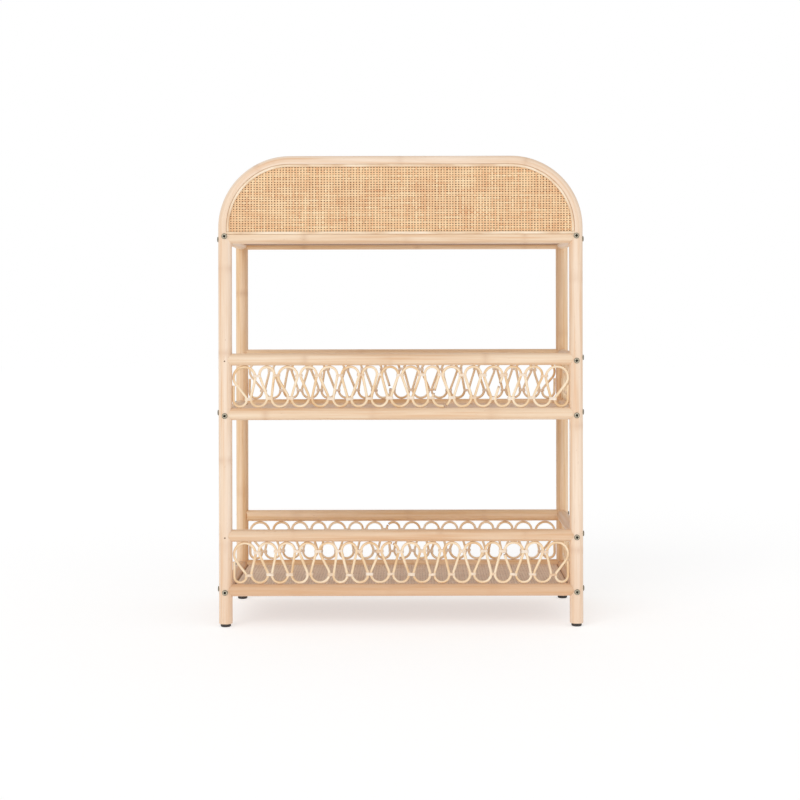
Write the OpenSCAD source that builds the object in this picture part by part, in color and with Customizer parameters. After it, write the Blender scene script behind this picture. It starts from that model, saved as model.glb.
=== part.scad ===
// Rattan shoe rack: three open tiers between a bent front hoop and two back posts,
// a cane panel in the arch, and looped cane galleries on three sides of the two lower tiers.
// The left side has no gallery and no upper rails.
// Millimetres. +X right, +Y to the back, +Z up. The origin is on the floor, under the middle.

/* [Overall] */
// Width over the two legs of the front hoop
rack_w = 775; // [600:1:1000]
// Depth from the front of the hoop to the back of the back posts
rack_d = 350; // [280:1:450]
// Height from the floor to the top of the arch
rack_h = 1000; // [830:1:1250]

/* [Poles] */
// Diameter of the pole that is bent into the front hoop
post_d = 29; // [26:0.5:36]
// Diameter of the two back posts
back_post_d = 28; // [26:0.5:36]
// Diameter of the rails
rail_d = 26; // [20:0.5:26]
// Radius of the hoop's two corners, to the middle of the pole
hoop_r = 138.5; // [100:0.5:180]
// Straight length of the hoop above the top rails' middle, before its corners begin
hoop_rise = 21; // [18:0.5:60]
// Height of the back posts above the top rails' middle
back_post_rise = 22; // [16:0.5:60]
// Rounding of the back posts' upper ends
post_end_r = 5; // [1:0.5:8]

/* [Tiers] */
// Height of the lowest rails' middle above the floor
bottom_z = 77; // [50:1:120]
// Clear height of a gallery, from its lower rail to its upper rail
gallery_h = 90; // [70:1:120]
// Height of a shelf's woven top above the middle of the rails round it
shelf_rise = 4; // [1:0.5:8]
// Thickness of the shelf boards
board_t = 6; // [4:0.5:9]
// Thickness of the cane webbing
web_t = 1.2; // [0.8:0.1:2]
// How far the webbing stops short of the rails
web_margin = 1; // [0.5:0.5:4]
// Depth of the grooves in the rails that hold the edges of the boards
groove = 2.5; // [1.5:0.5:4]

/* [Arch panel] */
// Distance from the pole's middle in to the wall of the rebate that holds the panel
rebate_in = 3.4; // [2:0.1:6]
// Height of the rebate's lower wall above the top front rail's middle
rebate_up = 6.9; // [5:0.1:8]
// Distance from the pole's middle forward to the floor of the rebate
rebate_front = 5.5; // [4:0.1:7]
// Thickness of the backing behind the cane
backing_t = 3; // [2:0.5:4]
// Width of the bead that holds the cane
bead_w = 6; // [4:0.5:8]
// Height of the straight sides of the bead
bead_side = 1; // [0.5:0.1:2]

/* [Galleries] */
// Diameter of the looped strand
strand_d = 5.7; // [4:0.1:6.5]
// Gap between neighbouring loops, which the ties bridge
loop_gap = 3.5; // [0.5:0.1:6]
// Gap between the end loops and the posts, and between a tail and the leg beside it
strand_gap = 0.3; // [0.2:0.1:1]
// Spacing of the loops, which is stretched or squeezed a little to fill the side
loop_pitch = 44; // [40:1:52]
// Distance of the first upper tie from the post
end_arch = 53; // [46:1:58]
// Distance of the first lower tie from the post
end_bow = 35; // [30:1:44]
// Least length of the leg between the arch and the bow beside a post
leg_min = 20; // [10:1:30]
// How much thicker the straight stretches of the strand are than its bends
strand_swell = 0.1; // [0.06:0.02:0.2]
// How far a straight stretch runs into the bends at its ends
strand_lap = 0.3; // [0.2:0.1:0.5]
// Height of a tie along the strand
tie_h = 5.5; // [3:0.1:8]
// Thickness of a tie
tie_t = 0.9; // [0.6:0.1:1.5]
// Clearance between a tie and the two strands in it
tie_fit = 0.25; // [0.2:0.05:0.6]

/* [Fasteners and feet] */
// Diameter of the screws that hold the rails
screw_d = 5; // [4:0.5:6]
// Length of the screws under the head
screw_len = 60; // [45:1:70]
// Length of a screw's point
screw_point = 6; // [3:1:10]
// Diameter of a screw head
head_d = 12; // [9:0.5:13]
// Height of a screw head
head_h = 4; // [3:0.5:6]
// How far a screw head stands out from its post
head_proud = 2; // [1:0.5:3]
// Height of a screw's middle above or below the rail's middle, so that crossing screws pass
screw_offset = 3.2; // [3:0.1:4]
// Width of the slots in a screw head
slot_w = 1.6; // [1:0.1:2]
// Length of the slots in a screw head
slot_l = 6.6; // [4:0.1:8]
// Depth of the slots in a screw head
slot_depth = 1.8; // [1:0.1:2.5]
// Diameter of the nails
nail_d = 2; // [1.5:0.1:2.5]
// Length of the nails under the head
nail_len = 45; // [35:1:50]
// Length of the pins in the front of the left post, under the head
pin_len = 22; // [15:1:24]
// Diameter of a nail head
nail_head_d = 3.6; // [3:0.1:5]
// Thickness of a nail head
nail_head_h = 1; // [0.6:0.1:2]
// Diameter of the feet
foot_d = 22; // [18:0.5:26]
// Height of the feet below the posts
foot_h = 7; // [4:0.5:15]
// Rounding of a foot's lower edge
foot_r = 1.5; // [0.5:0.5:3]
// Diameter of the peg on a foot
peg_d = 6; // [4:0.5:10]
// Length of the peg on a foot
peg_len = 15; // [8:1:25]

/* [Fit] */
// Gap round the head of a screw or a nail
head_gap = 0.2; // [0.1:0.1:0.5]
// How much deeper a hole is than what goes into it
hole_spare = 1; // [0.5:0.5:3]
// Gap between pieces that are glued, pressed or laid together
fit = 0.1; // [0.05:0.05:0.3]

/* [Hidden] */
$fn = 48;

POLE = [0.94, 0.84, 0.73];
RAIL = [0.92, 0.80, 0.68];
BACK_POLE = [0.85, 0.71, 0.57];
STRAND = [0.96, 0.85, 0.70];
TIE = [0.98, 0.89, 0.77];
CANE = [0.89, 0.73, 0.57];
BEAD = [0.97, 0.90, 0.82];
WOOD = [0.80, 0.64, 0.48];
STEEL = [0.62, 0.61, 0.56];
BLACK = [0.23, 0.22, 0.21];

// Cuts run this far past the faces that they open
past = 1;

// The posts' middles
post_x = (rack_w - post_d) / 2;
front_y = -(rack_d - post_d) / 2;
back_y = (rack_d - back_post_d) / 2;
span_x = 2 * post_x;
span_y = back_y - front_y;

// The rails' middles: lower and upper rails of the bottom tier, of the middle tier, and the top rails
top_z = rack_h - post_d / 2 - hoop_r - hoop_rise;
middle_z = (bottom_z + top_z) / 2;
rail_step = gallery_h + rail_d;
LEVELS = [bottom_z, bottom_z + rail_step, middle_z, middle_z + rail_step, top_z];
TOP = 4;

// The hoop's corners turn about these heights
corner_z = rack_h - post_d / 2 - hoop_r;
rebate_z = top_z + rebate_up;

// ---- Joints between posts and rails ----

// At the left posts the upper rails of the two tiers are nailed, and there is no side rail
function is_nailed(level, left) = left && (level == 1 || level == 3);

// The lower rails and the top rails carry a shelf
function has_shelf(level) = level % 2 == 0;

// Screws that run front to back pass below the rail's middle, and above it at the top rails.
// Screws that run sideways pass on the other side of the middle.
function rise_y(level) = level == TOP ? screw_offset : -screw_offset;
function rise_x(level) = -rise_y(level);

// Distance from a post's middle to the underside of the heads in it
function screw_seat(pole_d) = pole_d / 2 + head_proud - head_h;
function nail_seat(pole_d) = pole_d / 2 - nail_head_h;

// The hole of one fastener, along +X to a depth below a pole's face, with its head at the +X side
module fastener_hole(pole_d, nailed, depth) {
    seat = nailed ? nail_seat(pole_d) : screw_seat(pole_d);
    shank_d = nailed ? nail_d : screw_d;
    wide_d = nailed ? nail_head_d : head_d;
    rotate([0, 90, 0]) {
        translate([0, 0, pole_d / 2 - depth])
            cylinder(d = shank_d + 2 * fit, h = depth + past);
        translate([0, 0, seat - fit])
            cylinder(d = wide_d + 2 * head_gap, h = pole_d);
    }
}

// All the fastener holes of one post, which faces front or back and left or right
module post_holes(pole_d, left, front) {
    through = pole_d + past;
    for (i = [0 : TOP]) {
        nailed = is_nailed(i, left);
        translate([0, 0, LEVELS[i] + rise_x(i)])
            rotate([0, 0, left ? 180 : 0])
                fastener_hole(pole_d, nailed, through);
        if (front || !nailed)
            translate([0, 0, LEVELS[i] + rise_y(i)])
                rotate([0, 0, front ? -90 : 90])
                    fastener_hole(pole_d, nailed, nailed ? pin_len + nail_head_h + hole_spare : through);
    }
}

module peg_hole() {
    translate([0, 0, foot_h - past])
        cylinder(d = peg_d + 2 * fit, h = peg_len + past + hole_spare);
}

// A rail along +X between two post middles, with the rack's inside at +Y.
// Its ends fit round the posts, and are mitred where the next rail meets them.
module rail(span, end_d, end_nailed, rise, grooved) {
    difference() {
        rotate([0, 90, 0])
            cylinder(d = rail_d, h = span);
        if (grooved)
            translate([-past, rail_d / 2 - groove, shelf_rise - web_t - board_t - fit])
                cube([span + 2 * past, rail_d, board_t + fit]);
        for (i = [0, 1]) {
            translate([i * span, 0, -rail_d])
                cylinder(d = end_d[i] + 2 * fit, h = 2 * rail_d);
            translate([i * span, 0, -rail_d])
                mirror([i, 0, 0])
                    linear_extrude(2 * rail_d)
                        polygon([[-fit, 0], [rail_d, rail_d + fit], [-rail_d, rail_d + fit]]);
            translate([i * span, 0, rise])
                mirror([i, 0, 0])
                    pilot_hole(end_d[i], end_nailed[i]);
        }
    }
}

// The hole in a rail's end, from the post's middle to just past the fastener's point
module pilot_hole(pole_d, nailed) {
    seat = nailed ? nail_seat(pole_d) : screw_seat(pole_d);
    reach = (nailed ? nail_len : screw_len) - seat;
    rotate([0, 90, 0])
        cylinder(d = (nailed ? nail_d : screw_d) + 2 * fit, h = reach + hole_spare);
}

module front_rail(level) {
    color(RAIL)
        difference() {
            translate([-post_x, front_y, LEVELS[level]])
                rail(span_x, [post_d, post_d], [is_nailed(level, true), false], rise_x(level),
                     has_shelf(level));
            if (level == TOP)
                translate([-post_x, front_y - rebate_front - rail_d, rebate_z])
                    cube([span_x, rail_d, rail_d]);
        }
}

module back_rail(level) {
    color(BACK_POLE)
        translate([-post_x, back_y, LEVELS[level]])
            mirror([0, 1, 0])
                rail(span_x, [back_post_d, back_post_d], [is_nailed(level, true), false], rise_x(level),
                     has_shelf(level));
}

// Side rails run from the front post to the back post
module side_rail(level, left) {
    color(RAIL)
        mirror([left ? 0 : 1, 0, 0])
            translate([-post_x, front_y, LEVELS[level]])
                mirror([1, 0, 0])
                    rotate([0, 0, 90])
                        rail(span_y, [post_d, back_post_d], [false, false], rise_y(level),
                             has_shelf(level));
}

// ---- Front hoop and back posts ----

// Sweeps a flat section round the inside of the hoop from height start_z. In the section,
// X runs from the pole's middle in towards the panel, and Y runs forward.
module hoop_sweep(start_z) {
    for (side = [0, 1])
        mirror([side, 0, 0]) {
            translate([-post_x, front_y, start_z])
                mirror([0, 1, 0])
                    linear_extrude(corner_z - start_z)
                        children();
            translate([hoop_r - post_x, front_y, corner_z])
                mirror([1, 0, 0])
                    rotate([90, 0, 0])
                        rotate_extrude(angle = 90)
                            translate([hoop_r, 0])
                                mirror([1, 0])
                                    children();
        }
    translate([hoop_r - post_x, front_y, corner_z + hoop_r])
        rotate([0, 90, 0])
            mirror([0, 1, 0])
                linear_extrude(2 * (post_x - hoop_r))
                    children();
}

module pole_section() {
    difference() {
        circle(d = post_d);
        translate([rebate_in, rebate_front])
            square(post_d);
    }
}

module front_hoop() {
    color(POLE)
        difference() {
            union() {
                for (x = [-post_x, post_x])
                    translate([x, front_y, foot_h])
                        cylinder(d = post_d, h = rebate_z - foot_h);
                hoop_sweep(rebate_z)
                    pole_section();
            }
            for (x = [-post_x, post_x])
                translate([x, front_y, 0]) {
                    post_holes(post_d, x < 0, true);
                    peg_hole();
                }
        }
}

module back_post(left) {
    height = top_z + back_post_rise - foot_h;
    radius = back_post_d / 2;
    color(BACK_POLE)
        translate([left ? -post_x : post_x, back_y, 0])
            difference() {
                translate([0, 0, foot_h])
                    rotate_extrude() {
                        square([radius, height - post_end_r]);
                        square([radius - post_end_r, height]);
                        intersection() {
                            translate([radius - post_end_r, height - post_end_r])
                                circle(r = post_end_r);
                            square([radius, height]);
                        }
                    }
                post_holes(back_post_d, left, false);
                peg_hole();
            }
}

module foot(left, front) {
    color(BLACK)
        translate([left ? -post_x : post_x, front ? front_y : back_y, 0])
            rotate_extrude()
                polygon([
                    [0, 0], [foot_d / 2 - foot_r, 0], [foot_d / 2, foot_r], [foot_d / 2, foot_h - fit],
                    [peg_d / 2, foot_h - fit], [peg_d / 2, foot_h + peg_len], [0, foot_h + peg_len]
                ]);
}

// ---- Shelves ----

// A board reaches to the floors of the grooves in the rails round it
shelf_x = span_x - rail_d + 2 * groove - 2 * fit;
shelf_y = span_y - rail_d + 2 * groove - 2 * fit;
shelf_mid_y = (front_y + back_y) / 2;

module shelf_slab(inset, z, thickness) {
    translate([inset - shelf_x / 2, shelf_mid_y - shelf_y / 2 + inset, z])
        cube([shelf_x - 2 * inset, shelf_y - 2 * inset, thickness]);
}

// The board's corners are cut back where they would meet the posts
module shelf_board(level) {
    color(WOOD)
        difference() {
            shelf_slab(0, LEVELS[level] + shelf_rise - web_t - board_t, board_t - fit);
            for (x = [-post_x, post_x]) {
                translate([x, front_y, LEVELS[level] - rail_d])
                    cylinder(d = post_d + 2 * fit, h = 2 * rail_d);
                translate([x, back_y, LEVELS[level] - rail_d])
                    cylinder(d = back_post_d + 2 * fit, h = 2 * rail_d);
            }
        }
}

module shelf_webbing(level) {
    color(CANE)
        shelf_slab(groove + web_margin, LEVELS[level] + shelf_rise - web_t, web_t);
}

// ---- Arch panel ----

// A sheet that fills the rebate, with its back at a distance in front of the pole's middle
module arch_sheet(back, thickness) {
    inset = rebate_in + fit;
    corner = hoop_r - inset;
    bottom = rebate_z + fit;
    half = post_x - inset;
    translate([0, front_y - back, 0])
        rotate([90, 0, 0])
            linear_extrude(thickness)
                intersection() {
                    union() {
                        translate([-half, bottom])
                            square([2 * half, corner_z - bottom]);
                        translate([corner - half, bottom])
                            square([2 * (half - corner), corner_z + corner - bottom]);
                        for (side = [-1, 1])
                            translate([side * (half - corner), corner_z])
                                circle(corner);
                    }
                    translate([-half, bottom])
                        square([2 * half, rack_h]);
                }
}

module arch_backing() {
    color(WOOD)
        arch_sheet(rebate_front, backing_t - fit);
}

module arch_webbing() {
    color(CANE)
        arch_sheet(rebate_front + backing_t, web_t);
}

bead_front = rebate_front + backing_t + web_t + fit;

// The bead's section: it lies on the webbing, with a straight foot and a round back
module bead_section(start) {
    translate([start + fit + bead_w / 2, bead_front])
        intersection() {
            translate([0, bead_side])
                circle(d = bead_w);
            translate([-bead_w, 0])
                square(2 * bead_w);
        }
}

// The bead is cut back round the heads of the screws in the front of the hoop
module head_room() {
    for (x = [-post_x, post_x])
        translate([x, front_y, LEVELS[TOP] + rise_y(TOP)])
            rotate([90, 0, 0])
                cylinder(d = head_d + 2 * head_gap, h = post_d);
}

module arch_bead() {
    color(BEAD)
        difference() {
            hoop_sweep(rebate_z + bead_w + 2 * fit)
                bead_section(rebate_in);
            head_room();
        }
}

module arch_bead_lower() {
    half = post_x - rebate_in - fit;
    color(BEAD)
        difference() {
            translate([half, front_y, LEVELS[TOP]])
                rotate([0, -90, 0])
                    mirror([0, 1, 0])
                        linear_extrude(2 * half)
                            bead_section(rebate_up);
            head_room();
        }
}

// ---- Galleries ----

// One strand loops up and down between two rails: arches against the upper rail, bows against the
// lower rail, and a tail up each post. Arch i leans in to the bows i and i + 1 below it.
function clear_x() = span_x - post_d;
function clear_y() = span_y - (post_d + back_post_d) / 2;

// From a tie's or a post's place to the middle of the strand beside it
function side_room(at_post) = strand_d / 2 + (at_post ? strand_gap : loop_gap / 2);

// The first upper tie's distance from the post. In a low gallery the arch and the bow beside a post
// meet before the arch is end_arch wide, so the arch is as wide as leaves their leg leg_min long.
function first_arch() =
    let (rooms = side_room(true) + side_room(false),
         bow = (end_bow - rooms) / 2,
         height = gallery_h - strand_d - 2 * fit)
    min(end_arch, rooms + 2 * (bow + height - sqrt(4 * bow * height + pow(leg_min, 2))));

// How many arches fit in a length. There is one bow more.
function arches(length) = 2 + round((length - 2 * first_arch()) / loop_pitch);

// Upper tie i stands left of arch i, and lower tie j stands right of bow j. Past the ends is a post.
function upper_tie_x(length, i) =
    let (n = arches(length))
    i <= 0 ? 0 : i >= n ? length : first_arch() + (i - 1) * (length - 2 * first_arch()) / (n - 2);
function lower_tie_x(length, j) =
    let (n = arches(length))
    j < 0 ? 0 : j >= n ? length : end_bow + j * (length - 2 * end_bow) / (n - 1);

// The middle of a loop that spans from a to b, and its radius
function loop_x(length, a, b) = (a + side_room(a == 0) + b - side_room(b == length)) / 2;
function loop_r(length, a, b) = (b - side_room(b == length) - a - side_room(a == 0)) / 2;

function arch_x(length, i) = loop_x(length, upper_tie_x(length, i), upper_tie_x(length, i + 1));
function arch_r(length, i) = loop_r(length, upper_tie_x(length, i), upper_tie_x(length, i + 1));
function arch_z(length, i) = gallery_h / 2 - fit - strand_d / 2 - arch_r(length, i);
function bow_x(length, j) = loop_x(length, lower_tie_x(length, j - 1), lower_tie_x(length, j));
function bow_r(length, j) = loop_r(length, lower_tie_x(length, j - 1), lower_tie_x(length, j));
function bow_z(length, j) = fit + strand_d / 2 + bow_r(length, j) - gallery_h / 2;

// A leg touches its arch and its bow: this is its angle from upright, and its length
function leg_run(length, i, j) = abs(arch_x(length, i) - bow_x(length, j));
function leg_drop(length, i, j) = arch_z(length, i) - bow_z(length, j);
function leg_turns(length, i, j) = arch_r(length, i) + bow_r(length, j);
function leg_angle(length, i, j) =
    let (run = leg_run(length, i, j), drop = leg_drop(length, i, j))
    asin(leg_turns(length, i, j) / norm([run, drop])) - atan(run / drop);
function leg_length(length, i, j) =
    sqrt(pow(leg_run(length, i, j), 2) + pow(leg_drop(length, i, j), 2)
         - pow(leg_turns(length, i, j), 2));

// The tail stops where its end would meet the leg beside it
function tail_top(length) =
    let (a = leg_angle(length, 0, 0), r = arch_r(length, 0), tail_x = side_room(true),
         clear = strand_d / 2 + (strand_d / 2 + strand_gap) / cos(a))
    arch_z(length, 0) - r * sin(a) - (tail_x + clear - arch_x(length, 0) + r * cos(a)) / tan(a);

module bend(x, z, r, from, to) {
    translate([x, 0, z])
        rotate([90, 0, 0])
            rotate([0, 0, from])
                rotate_extrude(angle = to - from)
                    translate([r, 0])
                        circle(d = strand_d);
}

module stretch(length) {
    translate([0, 0, -strand_lap])
        cylinder(d = strand_d + strand_swell, h = length + 2 * strand_lap);
}

// A strand along +X from the face of one post to the face of the next, about the rails' middle height
module strand(length) {
    n = arches(length);
    for (i = [0 : n - 1]) {
        r = arch_r(length, i);
        bend(arch_x(length, i), arch_z(length, i), r,
             -leg_angle(length, i, i + 1), 180 + leg_angle(length, i, i));
        for (side = [0, 1]) {
            a = leg_angle(length, i, i + side);
            way = 2 * side - 1;
            translate([arch_x(length, i) + way * r * cos(a), 0, arch_z(length, i) - r * sin(a)])
                rotate([0, 180 + way * a, 0])
                    stretch(leg_length(length, i, i + side));
        }
    }
    for (j = [0 : n])
        bend(bow_x(length, j), bow_z(length, j), bow_r(length, j),
             j == 0 ? 180 : 180 - leg_angle(length, j - 1, j),
             j == n ? 360 : 360 + leg_angle(length, j, j));
    for (side = [0, 1])
        translate([side ? length : 0, 0, 0])
            mirror([side, 0, 0])
                translate([side_room(true), 0, bow_z(length, 0)])
                    stretch(tail_top(length) - bow_z(length, 0) - strand_lap);
}

// How far a loop's middle line draws back from a tie at height z, over the tie's height
function sag(z, loop_z, r) = pow(abs(z - loop_z) + tie_h / 2, 2) / (2 * r);

// A band round two neighbouring strands, whose middle lines draw back by spread
module tie(spread) {
    translate([0, 0, -tie_h / 2])
        linear_extrude(tie_h)
            difference() {
                tie_outline(spread, strand_d / 2 + tie_fit + tie_t);
                tie_outline(spread, strand_d / 2 + tie_fit);
            }
}

module tie_outline(spread, r) {
    half = (strand_d + loop_gap) / 2 + spread;
    translate([-half, -r])
        square([2 * half, 2 * r]);
    for (side = [-1, 1])
        translate([side * half, 0])
            circle(r);
}

// Upper ties hold neighbouring arches together, and lower ties hold neighbouring bows
module ties(length) {
    n = arches(length);
    for (i = [1 : n - 1]) {
        z = (arch_z(length, i - 1) + arch_z(length, i)) / 2;
        translate([upper_tie_x(length, i), 0, z])
            tie(max(sag(z, arch_z(length, i - 1), arch_r(length, i - 1)),
                    sag(z, arch_z(length, i), arch_r(length, i))));
    }
    for (j = [0 : n - 1]) {
        z = (bow_z(length, j) + bow_z(length, j + 1)) / 2;
        translate([lower_tie_x(length, j), 0, z])
            tie(max(sag(z, bow_z(length, j), bow_r(length, j)),
                    sag(z, bow_z(length, j + 1), bow_r(length, j + 1))));
    }
}

// Where a gallery starts: level is its lower rail
module at_front(level) {
    translate([post_d / 2 - post_x, front_y, LEVELS[level] + rail_step / 2])
        children();
}

module at_back(level) {
    translate([post_d / 2 - post_x, back_y, LEVELS[level] + rail_step / 2])
        children();
}

module at_right(level) {
    translate([post_x, front_y + post_d / 2, LEVELS[level] + rail_step / 2])
        rotate([0, 0, 90])
            children();
}

module front_gallery(level) { color(STRAND) at_front(level) strand(clear_x()); }
module back_gallery(level) { color(STRAND) at_back(level) strand(clear_x()); }
module right_gallery(level) { color(STRAND) at_right(level) strand(clear_y()); }
module front_ties(level) { color(TIE) at_front(level) ties(clear_x()); }
module back_ties(level) { color(TIE) at_back(level) ties(clear_x()); }
module right_ties(level) { color(TIE) at_right(level) ties(clear_y()); }

// ---- Fasteners ----

// A screw with its shank along -Z from the origin and its head above
module screw() {
    translate([0, 0, screw_point - screw_len])
        cylinder(d = screw_d, h = screw_len - screw_point);
    translate([0, 0, -screw_len])
        cylinder(d1 = screw_d / 5, d2 = screw_d, h = screw_point);
    difference() {
        cylinder(d = head_d, h = head_h);
        for (turn = [45, 135])
            rotate([0, 0, turn])
                translate([-slot_l / 2, -slot_w / 2, head_h - slot_depth])
                    cube([slot_l, slot_w, head_h]);
    }
}

module nail(length) {
    translate([0, 0, -length])
        cylinder(d = nail_d, h = length);
    cylinder(d = nail_head_d, h = nail_head_h);
}

// Screws into the side rails, through the front or back posts
module screws_along_y(front) {
    pole_d = front ? post_d : back_post_d;
    seat = screw_seat(pole_d);
    color(STEEL)
        for (left = [false, true], i = [0 : TOP])
            if (!is_nailed(i, left))
                translate([left ? -post_x : post_x, front ? front_y - seat : back_y + seat,
                           LEVELS[i] + rise_y(i)])
                    rotate([front ? 90 : -90, 0, 0])
                        screw();
}

// Screws into the front and back rails, through the outside of the posts
module screws_along_x(left) {
    color(STEEL)
        for (front = [false, true], i = [0 : TOP])
            if (!is_nailed(i, left)) {
                seat = screw_seat(front ? post_d : back_post_d);
                translate([(left ? -1 : 1) * (post_x + seat), front ? front_y : back_y,
                           LEVELS[i] + rise_x(i)])
                    rotate([0, left ? -90 : 90, 0])
                        screw();
            }
}

// Nails through the outside of the left posts, and pins in the front of the left one
module nails() {
    color(STEEL)
        for (i = [0 : TOP])
            if (is_nailed(i, true)) {
                for (front = [false, true])
                    translate([-post_x - nail_seat(front ? post_d : back_post_d),
                               front ? front_y : back_y, LEVELS[i] + rise_x(i)])
                        rotate([0, -90, 0])
                            nail(nail_len);
                translate([-post_x, front_y - nail_seat(post_d), LEVELS[i] + rise_y(i)])
                    rotate([90, 0, 0])
                        nail(pin_len);
            }
}

// ---- The rack ----

front_hoop();
back_post(true);  // back_post_left
back_post(false);  // back_post_right
front_rail(0);  // front_rail_bottom_lower
front_rail(1);  // front_rail_bottom_upper
front_rail(2);  // front_rail_middle_lower
front_rail(3);  // front_rail_middle_upper
front_rail(TOP);  // front_rail_top
back_rail(0);  // back_rail_bottom_lower
back_rail(1);  // back_rail_bottom_upper
back_rail(2);  // back_rail_middle_lower
back_rail(3);  // back_rail_middle_upper
back_rail(TOP);  // back_rail_top
side_rail(0, true);  // left_rail_bottom_lower
side_rail(2, true);  // left_rail_middle_lower
side_rail(TOP, true);  // left_rail_top
side_rail(0, false);  // right_rail_bottom_lower
side_rail(1, false);  // right_rail_bottom_upper
side_rail(2, false);  // right_rail_middle_lower
side_rail(3, false);  // right_rail_middle_upper
side_rail(TOP, false);  // right_rail_top
foot(true, true);  // foot_front_left
foot(false, true);  // foot_front_right
foot(true, false);  // foot_back_left
foot(false, false);  // foot_back_right
shelf_board(0);  // shelf_board_bottom
shelf_board(2);  // shelf_board_middle
shelf_board(TOP);  // shelf_board_top
shelf_webbing(0);  // shelf_webbing_bottom
shelf_webbing(2);  // shelf_webbing_middle
shelf_webbing(TOP);  // shelf_webbing_top
arch_backing();
arch_webbing();
arch_bead();
arch_bead_lower();
front_gallery(0);  // front_gallery_bottom
front_gallery(2);  // front_gallery_middle
back_gallery(0);  // back_gallery_bottom
back_gallery(2);  // back_gallery_middle
right_gallery(0);  // right_gallery_bottom
right_gallery(2);  // right_gallery_middle
front_ties(0);  // front_ties_bottom
front_ties(2);  // front_ties_middle
back_ties(0);  // back_ties_bottom
back_ties(2);  // back_ties_middle
right_ties(0);  // right_ties_bottom
right_ties(2);  // right_ties_middle
screws_along_y(true);  // screws_front
screws_along_y(false);  // screws_back
screws_along_x(true);  // screws_left
screws_along_x(false);  // screws_right
nails();  // nails_left
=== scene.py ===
"""A three-tier rattan shoe rack: bent pole hoop, cane arch panel, woven shelves and looped galleries."""

import math
import random

import bmesh
import bpy
from mathutils import Matrix, Vector


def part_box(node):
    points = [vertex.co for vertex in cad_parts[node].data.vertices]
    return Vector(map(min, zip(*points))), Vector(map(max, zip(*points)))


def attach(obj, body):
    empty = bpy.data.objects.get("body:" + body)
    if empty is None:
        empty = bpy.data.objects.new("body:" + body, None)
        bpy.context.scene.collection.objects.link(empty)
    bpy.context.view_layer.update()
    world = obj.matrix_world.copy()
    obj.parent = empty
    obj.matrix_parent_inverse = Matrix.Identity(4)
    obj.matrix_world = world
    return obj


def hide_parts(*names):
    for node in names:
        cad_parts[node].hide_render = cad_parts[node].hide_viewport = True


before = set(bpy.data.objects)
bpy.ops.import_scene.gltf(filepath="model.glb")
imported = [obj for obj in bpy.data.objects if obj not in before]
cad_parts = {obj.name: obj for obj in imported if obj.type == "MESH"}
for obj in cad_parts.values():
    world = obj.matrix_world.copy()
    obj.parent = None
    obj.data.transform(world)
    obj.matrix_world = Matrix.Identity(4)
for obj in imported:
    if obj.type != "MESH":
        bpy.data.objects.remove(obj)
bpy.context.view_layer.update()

X = Vector((1, 0, 0))
Y = Vector((0, 1, 0))
Z = Vector((0, 0, 1))


# ---- Sizes, all in metres ----

# Poles: sides of a pole's ring, spacing of its rings, and how unevenly thick it is
POLE_SIDES = 48
POLE_STEP = 0.012
POLE_UNEVEN = 0.012
# Rattan has a faint ring every so often, where a leaf grew
JOINT_SPACING = (0.17, 0.33)
JOINT_REACH = 0.006
# How closely a rail's end follows the post
COPE_GAP = 0.0001
# The rounding of the back posts' tops
POST_ROUNDING = 0.005
# Poles are browner below the second of these heights, most of all below the first
BROWN_HEIGHTS = (0.05, 0.30)

# The rebate in the hoop and in the top front rail
REBATE_IN = 0.0034
REBATE_UP = 0.0069
REBATE_FRONT = 0.0055
PANEL_GAP = 0.0001

# The hoop's corners
HOOP_RADIUS = 0.1385

# The bead round the panel
BEAD_WIDTH = 0.006
BEAD_SIDE = 0.001

# Cane webbing: spacing and width of the upright and the level strands in the arch, width on the
# shelves, how thick a strand is, how far it rises over a crossing, and how far it stops short
UPRIGHT_PITCH = 0.0062
LEVEL_PITCH = 0.00516
UPRIGHT_WIDTH = 0.0036
LEVEL_WIDTH = 0.0033
SHELF_WIDTH = 0.0044
CANE_THICKNESS = 0.00055
CANE_LIFT = 0.0003
ARCH_MARGIN = 0.0015
SHELF_MARGIN = 0.001

# Galleries
STRAND = 0.0057
STRAND_SIDES = 10
STRAND_STEP = 0.0028
LOOP_GAP = 0.0035
POST_GAP = 0.0003
LOOP_PITCH = 0.044
END_ARCH = 0.053
END_BOW = 0.035
TAIL_SHARE = 0.53
TIE_HEIGHT = 0.0056
TIE_WRAP = 0.0009
TIE_SIDES = 12

# Screws, and their height above or below the rail's middle
HEAD = 0.012
HEAD_PROUD = 0.002
HEAD_HEIGHT = 0.004
SLOT_LENGTH = 0.0052
SLOT_WIDTH = 0.0012
SLOT_DEPTH = 0.0004
SHANK = 0.005
POINT = 0.006
SCREW_OFFSET = 0.0032
SCREW_LENGTH = 0.060

# Nails and pins in the left posts
NAIL_HEAD = 0.0036
NAIL_HEAD_THICKNESS = 0.001
NAIL_SHANK = 0.002
NAIL_LENGTH = 0.045
PIN_LENGTH = 0.022


# The floor: half its side, its own colour, and the glow that keeps its shadows pale
FLOOR_REACH = 14
FLOOR_GREY = (0.58, 0.58, 0.58, 1)
FLOOR_GLOW = 0.56

# How strongly the white studio lights the rack
STUDIO_LIGHT = 0.62

# The camera: lens and sensor in millimetres, shift, place, and roll in degrees
LENS = 70.14
SENSOR = 36
CAMERA_SHIFT = (-0.0201, -0.1142)
CAMERA_PLACE = (0.033, -3.476, 0.675)
CAMERA_ROLL = 0.12


# ---- Node recipes for the finishes ----

def srgb(red, green, blue):
    """A colour given as 0 to 255 on screen, as the shader wants it."""
    def linear(value):
        value /= 255
        return value / 12.92 if value <= 0.04045 else ((value + 0.055) / 1.055) ** 2.4
    return (linear(red), linear(green), linear(blue), 1)


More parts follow.
